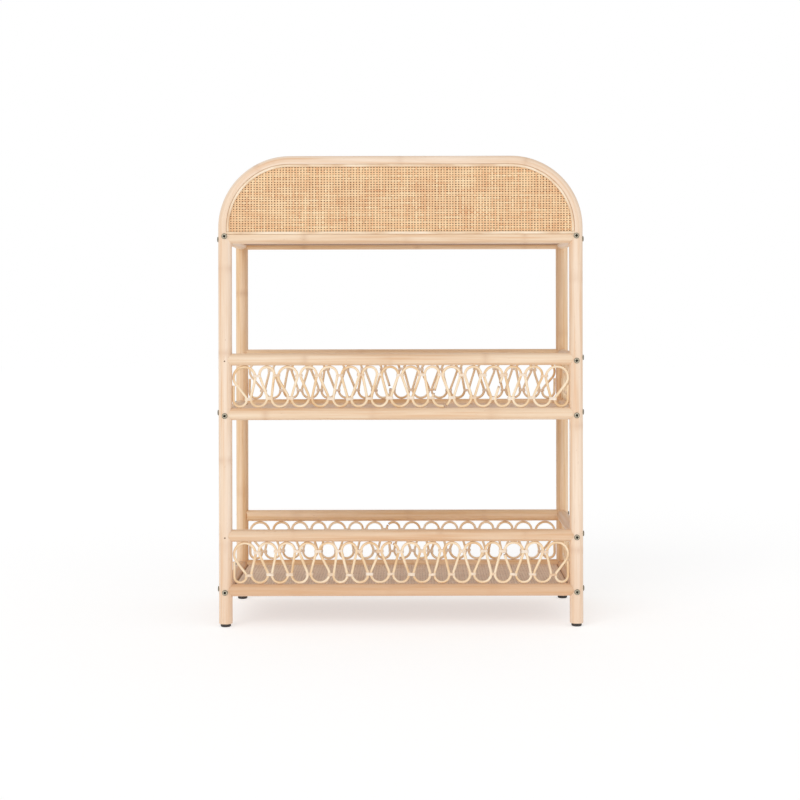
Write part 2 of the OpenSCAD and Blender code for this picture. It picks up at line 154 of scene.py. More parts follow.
class Finish:
    """One material, built node by node."""

    def __init__(self, name, roughness, specular=0.5, coat=0, coat_roughness=0.3, metallic=0):
        self.material = bpy.data.materials.new(name)
        self.material.use_nodes = True
        self.tree = self.material.node_tree
        self.shader = self.tree.nodes["Principled BSDF"]
        self.shader.inputs["Roughness"].default_value = roughness
        self.shader.inputs["Specular IOR Level"].default_value = specular
        self.shader.inputs["Coat Weight"].default_value = coat
        self.shader.inputs["Coat Roughness"].default_value = coat_roughness
        self.shader.inputs["Metallic"].default_value = metallic

    def add(self, kind, inputs=None, **settings):
        node = self.tree.nodes.new(kind)
        for key, value in settings.items():
            setattr(node, key, value)
        for key, value in (inputs or {}).items():
            if isinstance(value, bpy.types.NodeSocket):
                self.tree.links.new(value, node.inputs[key])
            else:
                node.inputs[key].default_value = value
        return node

    def grain(self):
        """The piece's own grain: across, across and along, in metres."""
        return self.add("ShaderNodeAttribute", attribute_name="grain").outputs["Vector"]

    def mark(self):
        """How strongly the piece is marked here, by a leaf joint or a cut end, or darkened with painted
        shade in a tie's grooves and on a screw head's rim.
        """
        return self.add("ShaderNodeAttribute", attribute_name="mark").outputs["Fac"]

    def place(self):
        return self.add("ShaderNodeTexCoord").outputs["Object"]

    def scaled(self, vector, scale):
        return self.add("ShaderNodeMapping", {"Vector": vector, "Scale": scale}).outputs["Vector"]

    def noise(self, vector, scale, detail=3, roughness=0.5):
        node = self.add("ShaderNodeTexNoise", {
            "Vector": self.scaled(vector, scale), "Scale": 1, "Detail": detail, "Roughness": roughness})
        return node.outputs["Fac"]

    def ramp(self, value, stops):
        node = self.add("ShaderNodeValToRGB", {"Fac": value})
        elements = node.color_ramp.elements
        while len(elements) < len(stops):
            elements.new(0.5)
        for element, (position, colour) in zip(elements, stops):
            element.position = position
            element.color = colour
        return node.outputs["Color"]

    def band(self, value, low, high):
        """0 below low, 1 above high, and smooth between them."""
        node = self.add("ShaderNodeMapRange", {"Value": value, "From Min": low, "From Max": high},
                        interpolation_type="SMOOTHSTEP")
        return node.outputs["Result"]

    def math(self, operation, first, second):
        return self.add("ShaderNodeMath", {0: first, 1: second}, operation=operation).outputs[0]

    def blend(self, share, first, second, how="MIX"):
        node = self.add("ShaderNodeMix", {0: share, 6: first, 7: second}, data_type="RGBA",
                        blend_type=how)
        return node.outputs[2]

    def colour(self, value):
        self.tree.links.new(value, self.shader.inputs["Base Color"])

    def rough(self, value, low, high):
        node = self.add("ShaderNodeMapRange", {"Value": value, "To Min": low, "To Max": high})
        self.tree.links.new(node.outputs["Result"], self.shader.inputs["Roughness"])

    def relief(self, height, depth, strength=1.0):
        node = self.add("ShaderNodeBump", {"Height": height, "Distance": depth, "Strength": strength})
        self.tree.links.new(node.outputs["Normal"], self.shader.inputs["Normal"])


def rattan_finish(name, pale, middle, warm, low_browning, streak=0.5):
    """Peeled and lacquered rattan pole: long pores, warm and pale streaks, faint leaf joints,
    and a browner tone near the floor."""
    finish = Finish(name, 0.42, coat=0.25, coat_roughness=0.35)
    grain = finish.grain()
    pores = finish.noise(grain, (900, 900, 14), 4, 0.65)
    streaks = finish.noise(grain, (210, 210, 5), 3, 0.55)
    drift = finish.noise(grain, (45, 45, 2.2), 2)
    flecks = finish.noise(grain, (420, 420, 60), 2)
    tone = finish.math("ADD", finish.math("MULTIPLY", streaks, streak),
                       finish.math("MULTIPLY", drift, 1 - streak))
    base = finish.ramp(tone, [(0.36, warm), (0.47, middle), (0.60, pale)])
    pore_tint = tuple(0.82 * channel for channel in middle[:3]) + (1,)
    base = finish.blend(finish.math("MULTIPLY", finish.band(pores, 0.54, 0.72), 0.35), base, pore_tint)
    knot_tint = srgb(176, 124, 82)
    base = finish.blend(finish.math("MULTIPLY", finish.band(flecks, 0.71, 0.78), 0.45), base, knot_tint)
    broken = finish.math("MULTIPLY", finish.mark(), finish.band(streaks, 0.3, 0.6))
    base = finish.blend(finish.math("MULTIPLY", broken, 0.32), base, srgb(190, 138, 96))
    # Below BROWN_HEIGHTS the colour turns browner towards the floor, by the share given for each pole.
    height = finish.add("ShaderNodeSeparateXYZ", {0: finish.place()}).outputs["Z"]
    low = finish.math("SUBTRACT", 1.0, finish.band(height, *BROWN_HEIGHTS))
    base = finish.blend(finish.math("MULTIPLY", low, low_browning), base, srgb(206, 150, 100))
    finish.colour(base)
    finish.rough(pores, 0.34, 0.52)
    finish.relief(pores, 0.0003, 0.35)
    return finish.material


def strand_finish(name, pale, middle, warm, cut_end_and_groove_shade_tint):
    """Round core cane for the galleries: slightly fibrous, darker at its cut ends, and on the ties darker
    in the grooves between turns, which is painted shade.
    """
    finish = Finish(name, 0.48, coat=0.15, coat_roughness=0.4)
    grain = finish.grain()
    fibres = finish.noise(grain, (1500, 1500, 25), 3, 0.6)
    drift = finish.noise(grain, (90, 90, 18), 3)
    base = finish.ramp(drift, [(0.33, warm), (0.48, middle), (0.62, pale)])
    fibre_tint = tuple(0.80 * channel for channel in middle[:3]) + (1,)
    base = finish.blend(finish.math("MULTIPLY", finish.band(fibres, 0.52, 0.70), 0.35), base, fibre_tint)
    base = finish.blend(finish.math("MULTIPLY", finish.mark(), 0.75), base, cut_end_and_groove_shade_tint)
    finish.colour(base)
    finish.relief(fibres, 0.0002, 0.4)
    return finish.material


def webbing_finish(name, pale, middle, warm, dark):
    """Split cane: each strand has its own tone, with a few stained or worn stretches."""
    finish = Finish(name, 0.5, coat=0.1, coat_roughness=0.4)
    grain = finish.grain()
    tone = finish.noise(grain, (60, 60, 16), 2, 0.5)
    patches = finish.noise(finish.place(), (22, 22, 22), 2)
    stains = finish.noise(grain, (160, 160, 70), 2, 0.6)
    fibres = finish.noise(grain, (1400, 1400, 40), 2)
    base = finish.ramp(tone, [(0.26, warm), (0.46, middle), (0.70, pale)])
    base = finish.blend(finish.math("MULTIPLY", finish.band(patches, 0.45, 0.7), 0.25), base, warm)
    base = finish.blend(finish.math("MULTIPLY", finish.band(stains, 0.66, 0.78), 0.6), base, dark)
    finish.colour(base)
    finish.relief(fibres, 0.0002, 0.5)
    return finish.material


def timber_finish(name, light, dark, along):
    """Plywood: straight wood grain."""
    finish = Finish(name, 0.62)
    place = finish.place()
    figure = finish.noise(place, along, 4, 0.6)
    fine = finish.noise(place, tuple(9 * value for value in along), 2)
    tone = finish.math("ADD", finish.math("MULTIPLY", figure, 0.75), finish.math("MULTIPLY", fine, 0.25))
    finish.colour(finish.ramp(tone, [(0.38, dark), (0.6, light)]))
    finish.relief(fine, 0.0003, 0.4)
    return finish.material


def rubber_finish():
    finish = Finish("foot_rubber", 0.7)
    grit = finish.noise(finish.place(), (1800, 1800, 1800), 3)
    finish.colour(finish.ramp(grit, [(0.35, srgb(44, 41, 40)), (0.65, srgb(70, 65, 62))]))
    finish.relief(grit, 0.0002, 0.5)
    return finish.material


def zinc_finish(name, light, dark):
    """Zinc-plated steel, a little yellowed, with fine scratches and a painted dark rim that stands for
    the shade in the gap round the head.
    """
    finish = Finish(name, 0.45, metallic=0.3)
    scratches = finish.noise(finish.place(), (900, 900, 2600), 4, 0.7)
    blotches = finish.noise(finish.place(), (500, 500, 500), 2)
    base = finish.ramp(blotches, [(0.35, dark), (0.65, light)])
    # The rim's dark colour is painted shade, for the shadowed gap round the screw head.
    rim = tuple(0.42 * channel for channel in dark[:3]) + (1,)
    finish.colour(finish.blend(finish.mark(), base, rim))
    finish.rough(scratches, 0.34, 0.6)
    return finish.material


FINISHES = {
    "hoop_pole": rattan_finish("hoop_pole", srgb(248, 226, 204), srgb(240, 212, 184), srgb(232, 190, 152),
                               0.2),
    "rail_pole": rattan_finish("rail_pole", srgb(244, 220, 192), srgb(236, 205, 172), srgb(226, 184, 144),
                               0.55),
    # The back posts and back rails are the same rattan as the front, but get this darker, more orange
    # copy of it: painted shade for the lesser light at the back.
    "back_pole": rattan_finish("back_pole", srgb(246, 216, 182), srgb(236, 199, 155), srgb(222, 174, 122),
                               0.1),
    "strand_core": strand_finish("strand_core", srgb(252, 232, 202), srgb(246, 218, 180),
                                 srgb(232, 192, 142), srgb(150, 98, 60)),
    # On the ties the last colour is painted shade in the grooves between the turns.
    "tie_binding": strand_finish("tie_binding", srgb(255, 242, 226), srgb(250, 230, 206),
                                 srgb(238, 208, 176), srgb(196, 150, 108)),
    "arch_cane": webbing_finish("arch_cane", srgb(252, 222, 178), srgb(243, 200, 152),
                                srgb(228, 172, 124), srgb(180, 112, 68)),
    "shelf_cane": webbing_finish("shelf_cane", srgb(246, 224, 202), srgb(238, 210, 184),
                                 srgb(224, 188, 158), srgb(176, 124, 92)),
    "bead_core": strand_finish("bead_core", srgb(252, 234, 210), srgb(244, 220, 190),
                               srgb(232, 198, 162), srgb(200, 156, 112)),
    "plywood": timber_finish("plywood", srgb(168, 128, 98), srgb(140, 102, 76), (14, 90, 90)),
    # The arch's backing is far darker than the shelf boards: painted shade seen through the holes of the
    # webbing in front of it.
    "panel_plywood_painted_shade": timber_finish("panel_plywood_painted_shade", srgb(116, 66, 36), srgb(88, 48, 26), (14, 90, 90)),
    "foot_rubber": rubber_finish(),
    "screw_steel": zinc_finish("screw_steel", srgb(222, 214, 192), srgb(190, 180, 156)),
    "nail_steel": zinc_finish("nail_steel", srgb(150, 122, 94), srgb(108, 84, 62)),
}


# ---- Making pieces ----

def piece(name, form, nodes, slot, sharp=35):
    """Turns a finished bmesh into a piece of the rack that stands for the CAD nodes."""
    bmesh.ops.recalc_face_normals(form, faces=form.faces)
    mesh = bpy.data.meshes.new(name)
    form.to_mesh(mesh)
    form.free()
    mesh.set_sharp_from_angle(angle=math.radians(sharp))
    made = bpy.data.objects.new(name, mesh)
    bpy.context.scene.collection.objects.link(made)
    mesh.materials.append(FINISHES[slot])
    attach(made, "root")
    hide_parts(*nodes)
    return made


def new_form():
    """An empty bmesh that can carry the grain, and the marks and painted shade."""
    form = bmesh.new()
    form.verts.layers.float_vector.new("grain")
    form.verts.layers.float.new("mark")
    return form


def newest(result, kind):
    return [item for item in result["geom"] if isinstance(item, kind)]


def looking(origin, along, across):
    """A matrix whose Z runs along the path and whose X is the direction nearest to across."""
    along = along.normalized()
    side = (across - along * across.dot(along)).normalized()
    turn = Matrix((side, along.cross(side), along)).transposed().to_4x4()
    return Matrix.Translation(origin) @ turn


def directions(points):
    """The direction of a path at each of its points."""
    last = len(points) - 1
    return [points[min(i + 1, last)] - points[max(i - 1, 0)] for i in range(last + 1)]


def ring(form, sides, radius, grain_start):
    """A ring of vertices about the origin, which a sweep starts from."""
    made = bmesh.ops.create_circle(form, segments=sides, radius=radius)["verts"]
    grain = form.verts.layers.float_vector["grain"]
    for vert in made:
        vert[grain] = vert.co + grain_start
    return made


def between(verts):
    """The edges that join a ring's own vertices."""
    inside = set(verts)
    found = {edge for vert in verts for edge in vert.link_edges}
    return [edge for edge in found if edge.verts[0] in inside and edge.verts[1] in inside]


def close(form, verts):
    bmesh.ops.contextual_create(form, geom=between(verts))


def carry(form, verts, step, mark=0.0):
    """Draws the ring on to its next place, and returns the new ring."""
    made = bmesh.ops.extrude_edge_only(form, edges=between(verts))
    fresh = newest(made, bmesh.types.BMVert)
    bmesh.ops.transform(form, matrix=step, verts=fresh)
    marks = form.verts.layers.float["mark"]
    for vert in fresh:
        vert[marks] = mark
    return fresh


def lengthen(form, verts, length):
    """Moves the ring's grain on by the length that the sweep has gone."""
    grain = form.verts.layers.float_vector["grain"]
    for vert in verts:
        vert[grain] += Vector((0, 0, length))


def sweep(form, points, across, sides, radius, rng, thickness=None, marks=None, flat=1.0, tangents=None):
    """Sweeps a round or flattened section along a path. thickness scales it at each point."""
    count = len(points)
    thickness = thickness or [1.0] * count
    marks = marks or [0.0] * count
    tangents = tangents or directions(points)
    places = [looking(point, tangent, across) for point, tangent in zip(points, tangents)]
    start = Vector((rng.uniform(0, 9), rng.uniform(0, 9), rng.uniform(0, 9)))
    verts = ring(form, sides, radius, start)
    bmesh.ops.scale(form, vec=(flat, 1, 1), verts=verts)
    bmesh.ops.scale(form, vec=(thickness[0],) * 3, verts=verts)
    bmesh.ops.transform(form, matrix=places[0], verts=verts)
    form.verts.ensure_lookup_table()
    layer = form.verts.layers.float["mark"]
    for vert in verts:
        vert[layer] = marks[0]
    close(form, verts)
    rings = [verts]
    for i in range(1, count):
        grow = Matrix.Scale(thickness[i] / thickness[i - 1], 4)
        step = places[i] @ grow @ places[i - 1].inverted()
        verts = carry(form, verts, step, marks[i])
        lengthen(form, verts, (points[i] - points[i - 1]).length)
        rings.append(verts)
    close(form, verts)
    return rings


# ---- Poles ----

def spaced(length, step):
    """Distances along a pole, from 0 to its length."""
    count = max(2, round(length / step))
    return [length * i / count for i in range(count + 1)]


def pole_character(distances, rng):
    """Where a pole is a little thicker or thinner, and where its leaf joints are."""
    total = distances[-1]
    joints = []
    at = rng.uniform(0.3, 1) * JOINT_SPACING[0]
    while at < total:
        joints.append(at)
        at += rng.uniform(*JOINT_SPACING)
    phases = [rng.uniform(0, 2 * math.pi) for _ in range(2)]
    thickness = []
    marks = []
    for s in distances:
        wave = math.sin(s / 0.19 + phases[0]) + 0.6 * math.sin(s / 0.061 + phases[1])
        near = max((math.exp(-((s - joint) / JOINT_REACH) ** 2) for joint in joints), default=0)
        thickness.append(1 - POLE_UNEVEN * (0.5 + 0.3 * wave * 0.6) + 0.7 * POLE_UNEVEN * near)
        marks.append(near)
    return [min(1.0, value) for value in thickness], marks


def rail_form(start, end, inward, post_radii, radius, rng):
    """A rail between the middles of two posts, coped round them and mitred on the inside."""
    form = new_form()
    along = (end - start).normalized()
    length = (end - start).length
    distances = spaced(length - 4 * radius, POLE_STEP)
    stations = [2 * radius + s for s in distances]
    stations = [2 * radius - POLE_STEP / 2] + stations + [length - 2 * radius + POLE_STEP / 2]
    thickness, marks = pole_character(stations, rng)
    points = [start + along * s for s in stations]
    rings = sweep(form, points, Z, POLE_SIDES, radius, rng, thickness, marks)
    ends = ((rings[0], post_radii[0], start, 1), (rings[-1], post_radii[1], end, -1))
    for verts, post, origin, way in ends:
        for vert in verts:
            aside = (vert.co - origin).dot(inward)
            reach = math.sqrt(max((post + COPE_GAP) ** 2 - aside ** 2, 0))
            reach = max(reach, aside + COPE_GAP)
            moved = reach - way * (vert.co - origin).dot(along)
            vert.co += way * along * moved
    return form, rings


def post_radius(node):
    low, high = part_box(node)
    return (high.y - low.y) / 2


hoop_low, hoop_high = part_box("front_hoop")
hoop_radius = post_radius("front_hoop")
post_x = hoop_high.x - hoop_radius
front_y = (hoop_low.y + hoop_high.y) / 2
back_low, back_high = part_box("back_post_left")
back_radius = post_radius("back_post_left")
back_y = (back_low.y + back_high.y) / 2
LEVELS = ("bottom_lower", "bottom_upper", "middle_lower", "middle_upper", "top")


def rail_height(level):
    low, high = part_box(f"back_rail_{level}")
    return (low.z + high.z) / 2


rail_low, rail_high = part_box("back_rail_top")
rail_radius = (rail_high.z - rail_low.z) / 2
top_z = rail_height("top")
rebate_z = top_z + REBATE_UP


def into_rebate(verts, origin, inward, forward, wall_in, wall_forward):
    """Moves the vertices that stand in the rebate onto its two walls."""
    for vert in verts:
        place = vert.co - origin
        in_part = place.dot(inward)
        out_part = place.dot(forward)
        if in_part <= wall_in or out_part <= wall_forward:
            continue
        # The slanting ray from the corner of the rebate shows which wall the vertex belongs to
        if in_part - wall_in > out_part - wall_forward:
            vert.co -= forward * (out_part - wall_forward)
        else:
            vert.co -= inward * (in_part - wall_in)


def make_rails():
    for level in LEVELS:
        z = rail_height(level)
        corners = {
            "front": (Vector((-post_x, front_y, z)), Vector((post_x, front_y, z)), Y, "rail_pole"),
            # The back rails take the back posts' darker copy of the rattan, which is painted shade.
            "back": (Vector((-post_x, back_y, z)), Vector((post_x, back_y, z)), -Y, "back_pole"),
            "left": (Vector((-post_x, front_y, z)), Vector((-post_x, back_y, z)), X, "rail_pole"),
            "right": (Vector((post_x, front_y, z)), Vector((post_x, back_y, z)), -X, "rail_pole"),
        }
        for side, (start, end, inward, slot) in corners.items():
            node = f"{side}_rail_{level}"
            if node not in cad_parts:
                continue
            rng = random.Random(node)
            posts = {"front": (hoop_radius,) * 2, "back": (back_radius,) * 2}.get(
                side, (hoop_radius, back_radius))
            form, rings = rail_form(start, end, inward, posts, rail_radius, rng)
            if node == "front_rail_top":
                for verts in rings:
                    into_rebate(verts, start, Z, -Y, REBATE_UP, REBATE_FRONT)
            piece(f"{node}_rattan", form, [node], slot)


def hoop_path(start_z, inset=0.0):
    """The hoop's middle line from height start_z on the left, over the arch and down to it again,
    moved in towards the panel by inset. Gives points and directions."""
    radius = HOOP_RADIUS - inset
    x = post_x - inset
    corner_z = hoop_high.z - hoop_radius - HOOP_RADIUS
    points = []
    tangents = []
    rise = corner_z - start_z
    for s in spaced(rise, POLE_STEP)[:-1]:
        points.append(Vector((-x, front_y, start_z + s)))
        tangents.append(Z)
    turn = spaced(math.pi / 2, POLE_STEP / 2 / radius)
    for angle in turn[:-1]:
        points.append(Vector((radius - x - radius * math.cos(angle), front_y,
                              corner_z + radius * math.sin(angle))))
        tangents.append(Vector((math.sin(angle), 0, math.cos(angle))))
    width = 2 * (x - radius)
    half = [Vector((radius - x + s, front_y, corner_z + radius)) for s in spaced(width / 2, POLE_STEP)]
    points += half
    tangents += [X] * len(half)
    # The right half mirrors the left one, without its middle point
    mirrored = [Vector((-point.x, point.y, point.z)) for point in reversed(points[:-1])]
    turned = [Vector((tangent.x, 0, -tangent.z)) for tangent in reversed(tangents[:-1])]
    return points + mirrored, tangents + turned


def make_hoop():
    rng = random.Random("front_hoop")
    foot = hoop_low.z
    leg = [foot + s for s in spaced(rebate_z - foot, POLE_STEP)]
    points, tangents = hoop_path(rebate_z)
    left = [Vector((-post_x, front_y, z)) for z in leg]
    right = [Vector((post_x, front_y, z)) for z in reversed(leg)]
    line = left + points + right
    ways = [Z] * len(left) + tangents + [-Z] * len(right)
    distances = [0.0]
    for a, b in zip(line, line[1:]):
        distances.append(distances[-1] + (b - a).length)
    thickness, marks = pole_character(distances, rng)
    form = new_form()
    rings = sweep(form, line, Y, POLE_SIDES, hoop_radius, rng, thickness, marks, tangents=ways)
    for i in range(len(left), len(left) + len(points)):
        inward = -ways[i].cross(Y) if ways[i].length else X
        into_rebate(rings[i], line[i], inward, -Y, REBATE_IN, REBATE_FRONT)
    piece("front_hoop_rattan", form, ["front_hoop"], "hoop_pole")


def make_back_posts():
    for side in ("left", "right"):
        node = f"back_post_{side}"
        rng = random.Random(node)
        low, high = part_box(node)
        middle = (low + high) / 2
        heights = [low.z + s for s in spaced(high.z - low.z - POST_ROUNDING, POLE_STEP)]
        thickness, marks = pole_character(heights, rng)
        for turn in (30, 60, 85):
            angle = math.radians(turn)
            heights.append(high.z - POST_ROUNDING + POST_ROUNDING * math.sin(angle))
            narrowed = back_radius - POST_ROUNDING + POST_ROUNDING * math.cos(angle)
            thickness.append(narrowed / back_radius)
            marks.append(0.2)
        form = new_form()
        points = [Vector((middle.x, middle.y, z)) for z in heights]
        sweep(form, points, X, POLE_SIDES, back_radius, rng, thickness, marks)
        piece(f"{node}_rattan", form, [node], "back_pole")


# ---- Arch panel ----

def bead_ring(form, start_in, rng):
    """The bead's section: flat on the webbing, with low straight sides and a round back."""
    verts = ring(form, 16, BEAD_WIDTH / 2, Vector((rng.uniform(0, 9), 0, 0)))
    for vert in verts:
        vert.co.y = max(vert.co.y + BEAD_SIDE, 0)
    bmesh.ops.translate(form, vec=(start_in + BEAD_WIDTH / 2, 0, 0), verts=verts)
    return verts


def bead_sweep(points, tangents, start_in, inward_of, rng):
    """Sweeps the bead's section, whose X is inward and whose Y is forward."""
    low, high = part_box("arch_bead")
    back = front_y - high.y
    form = new_form()
    verts = bead_ring(form, start_in, rng)
    places = []
    for point, tangent in zip(points, tangents):
        inward = inward_of(tangent)
        turn = Matrix((inward, -Y, inward.cross(-Y))).transposed().to_4x4()
        places.append(Matrix.Translation(point - Y * back) @ turn)
    bmesh.ops.transform(form, matrix=places[0], verts=verts)
    close(form, verts)
    for i in range(1, len(points)):
        verts = carry(form, verts, places[i] @ places[i - 1].inverted())
        lengthen(form, verts, (points[i] - points[i - 1]).length)
    close(form, verts)
    return form


def make_beads():
    rng = random.Random("bead")
    points, tangents = hoop_path(rebate_z + BEAD_WIDTH + 2 * PANEL_GAP)
    form = bead_sweep(points, tangents, REBATE_IN + PANEL_GAP, lambda way: -way.cross(Y), rng)
    piece("arch_bead_cane", form, ["arch_bead"], "bead_core")
    low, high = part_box("arch_bead_lower")
    ends = spaced(high.x - low.x, POLE_STEP)
    points = [Vector((low.x + s, front_y, top_z)) for s in ends]
    form = bead_sweep(points, [X] * len(points), REBATE_UP + PANEL_GAP, lambda way: Z, rng)
    piece("arch_bead_lower_cane", form, ["arch_bead_lower"], "bead_core")


# ---- Cane webbing ----

def strand_proto(crossings, pitch, width, sides, up):
    """One flat strand along +X from 0, lifted over and under at each crossing. Y is across it."""
    form = new_form()
    count = 2 * crossings
    points = [Vector((i * pitch / 2, 0, up * CANE_LIFT * math.sin(i * math.pi / 2)))
              for i in range(count + 1)]
    rng = random.Random(0)
    sweep(form, points, Z, sides, width / 2, rng, flat=CANE_THICKNESS / width,
          tangents=[X] * len(points))
    grain = form.verts.layers.float_vector["grain"]
    for vert in form.verts:
        vert[grain] = Vector((vert.co.z, vert.co.y, vert.co.x))
    return form


def trim(form, low, high):
    """Cuts a strand off at two places along X, and closes its ends."""
    for at, way in ((low, -1), (high, 1)):
        everything = form.verts[:] + form.edges[:] + form.faces[:]
        cut = bmesh.ops.bisect_plane(form, geom=everything, plane_co=(at, 0, 0), plane_no=(way, 0, 0),
                                     clear_outer=True)["geom_cut"]
        edges = [item for item in cut if isinstance(item, bmesh.types.BMEdge)]
        bmesh.ops.contextual_create(form, geom=edges)


def weave(spans, pitch_along, pitch_across, first_across, place, sides, rng, flip, width):
    """All the strands of one direction. spans gives each strand's two ends along its length, counted
    from 0 at the sheet's corner. place turns the sheet's own X, Y, Z to where it lies."""
    crossings = 1 + math.ceil(max(high for _, high in spans) / pitch_along)
    protos = []
    for up in (1, -1):
        proto = strand_proto(crossings, pitch_along, width, sides, up * flip)
        mesh = bpy.data.meshes.new("proto")
        proto.to_mesh(mesh)
        proto.free()
        protos.append(mesh)
    whole = new_form()
    for k, (low, high) in enumerate(spans):
        if high - low < pitch_along:
            continue
        strand = bmesh.new()
        strand.from_mesh(protos[k % 2])
        trim(strand, low, high)
        wide = rng.uniform(0.88, 1.06)
        bmesh.ops.scale(strand, vec=(1, wide, 1), verts=strand.verts)
        aside = first_across + k * pitch_across + rng.gauss(0, 0.03) * pitch_across
        bmesh.ops.translate(strand, vec=(0, aside, 0), verts=strand.verts)
        grain = strand.verts.layers.float_vector["grain"]
        shift = Vector((rng.uniform(0, 50), rng.uniform(0, 50), rng.uniform(0, 50)))
        for vert in strand.verts:
            vert[grain] += shift
        bmesh.ops.transform(strand, matrix=place, verts=strand.verts)
        mesh = bpy.data.meshes.new("strand")
        strand.to_mesh(mesh)
        strand.free()
        whole.from_mesh(mesh)
        bpy.data.meshes.remove(mesh)
    for mesh in protos:
        bpy.data.meshes.remove(mesh)
    return whole


def sheet_place(origin, along, across, up):
    return Matrix.Translation(origin) @ Matrix((along, across, up)).transposed().to_4x4()


def make_arch_webbing():
    node = "arch_webbing"
    low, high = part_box(node)
    width = high.x - low.x
    height = high.z - low.z
    middle_y = (low.y + high.y) / 2
    corner = HOOP_RADIUS - REBATE_IN - PANEL_GAP

    def top_at(x):
        """Height of the panel's outline at a distance from its left edge."""
        beside = corner - min(x, width - x)
        drop = corner - math.sqrt(corner ** 2 - beside ** 2) if beside > 0 else 0
        return height - drop

    def edge_at(z):
        """Distance of the panel's outline from its left edge at a height."""
        above = z - (height - corner)
        return corner - math.sqrt(max(corner ** 2 - above ** 2, 0)) if above > 0 else 0

    columns = int((width - 2 * ARCH_MARGIN) / UPRIGHT_PITCH)
    first = (width - (columns - 1) * UPRIGHT_PITCH) / 2
    rows = int((height - 2 * ARCH_MARGIN) / LEVEL_PITCH)
    base = (height - (rows - 1) * LEVEL_PITCH) / 2
    # Each strand starts half a pitch before its first crossing
    upright = []
    for k in range(columns):
        x = first + k * UPRIGHT_PITCH
        offset = base - LEVEL_PITCH / 2
        upright.append((ARCH_MARGIN - offset, top_at(x) - ARCH_MARGIN - offset))
    level = []
    for k in range(rows):
        z = base + k * LEVEL_PITCH
        offset = first - UPRIGHT_PITCH / 2
        edge = edge_at(z) + ARCH_MARGIN
        level.append((edge - offset, width - edge - offset))
    forward = -Y
    origin = Vector((low.x, middle_y, low.z))
    rng = random.Random("arch uprights")
    place = sheet_place(origin + Z * (base - LEVEL_PITCH / 2), Z, X, Z.cross(X) * -1)
    uprights = weave(upright, LEVEL_PITCH, UPRIGHT_PITCH, first, place, 6, rng, 1,
                     UPRIGHT_WIDTH)
    piece("arch_webbing_uprights", uprights, [node], "arch_cane", 60)
    rng = random.Random("arch levels")
    place = sheet_place(origin + X * (first - UPRIGHT_PITCH / 2), X, Z, forward)
    levels = weave(level, UPRIGHT_PITCH, LEVEL_PITCH, base, place, 6, rng, -1, LEVEL_WIDTH)
    piece("arch_webbing_levels", levels, [node], "arch_cane", 60)


def make_shelf_webbing(tier):
    node = f"shelf_webbing_{tier}"
    low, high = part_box(node)
    size = high - low
    columns = int((size.x - 2 * SHELF_MARGIN) / UPRIGHT_PITCH)
    first_x = (size.x - (columns - 1) * UPRIGHT_PITCH) / 2
    rows = int((size.y - 2 * SHELF_MARGIN) / LEVEL_PITCH)
    first_y = (size.y - (rows - 1) * LEVEL_PITCH) / 2
    origin = Vector((low.x, low.y, (low.z + high.z) / 2))
    start_y = first_y - LEVEL_PITCH / 2
    start_x = first_x - UPRIGHT_PITCH / 2
    rng = random.Random(node)
    place = sheet_place(origin + Y * start_y, Y, X, Z)
    span = (SHELF_MARGIN - start_y, size.y - SHELF_MARGIN - start_y)
    deep = weave([span] * columns, LEVEL_PITCH, UPRIGHT_PITCH, first_x, place, 4, rng, 1,
                 SHELF_WIDTH)
    piece(f"{node}_depth", deep, [node], "shelf_cane", 60)
    place = sheet_place(origin + X * start_x, X, Y, Z)
    span = (SHELF_MARGIN - start_x, size.x - SHELF_MARGIN - start_x)
    wide = weave([span] * rows, UPRIGHT_PITCH, LEVEL_PITCH, first_y, place, 4, rng, -1,
                 SHELF_WIDTH)
    piece(f"{node}_width", wide, [node], "shelf_cane", 60)


# ---- Galleries ----

class Loop:
    """A round part of a gallery's strand: an arch under the upper rail or a bow on the lower rail."""

    def __init__(self, left, right, height, is_arch):
        self.radius = (right - left) / 2
        self.x = (left + right) / 2
        self.is_arch = is_arch
        self.z = height / 2 - STRAND / 2 - self.radius
        if not is_arch:
            self.z = -self.z


def uneven_ties(first, last, count, rng):
    """Tie places between the two given, each a little off the even spacing."""
    pitch = (last - first) / (count - 1)
    return [first + i * pitch + (rng.uniform(-0.06, 0.06) * pitch if 0 < i < count - 1 else 0)
            for i in range(count)]


def gallery_loops(length, height, rng):
    """The loops of one gallery in the order that the strand takes them, and its tie places."""
    arches = 2 + round((length - 2 * END_ARCH) / LOOP_PITCH)
    upper = uneven_ties(END_ARCH, length - END_ARCH, arches - 1, rng)
    lower = uneven_ties(END_BOW, length - END_BOW, arches, rng)
    at_post = STRAND / 2 + POST_GAP

    def sides(ties):
        """The strand's middle line on either side of each tie, between the two posts."""
        edges = [at_post]
        for tie in ties:
            half = (STRAND + LOOP_GAP * rng.uniform(0.2, 1.35)) / 2
            edges += [tie - half, tie + half]
        edges.append(length - at_post)
        return [(edges[i], edges[i + 1]) for i in range(0, len(edges), 2)]

    tops = [Loop(a, b, height, True) for a, b in sides(upper)]
    bottoms = [Loop(a, b, height, False) for a, b in sides(lower)]
    order = [bottoms[0]]
    for arch, bow in zip(tops, bottoms[1:]):
        order += [arch, bow]
    return order, upper, lower, tops, bottoms


def leg(start, end):
    """The direction of the straight stretch from one loop to the next, as an angle from +X."""
    dx = end.x - start.x
    dz = end.z - start.z
    lean = math.asin(min(1, (start.radius + end.radius) / math.hypot(dx, dz)))
    return math.atan2(dz, dx) + (lean if end.is_arch else -lean)


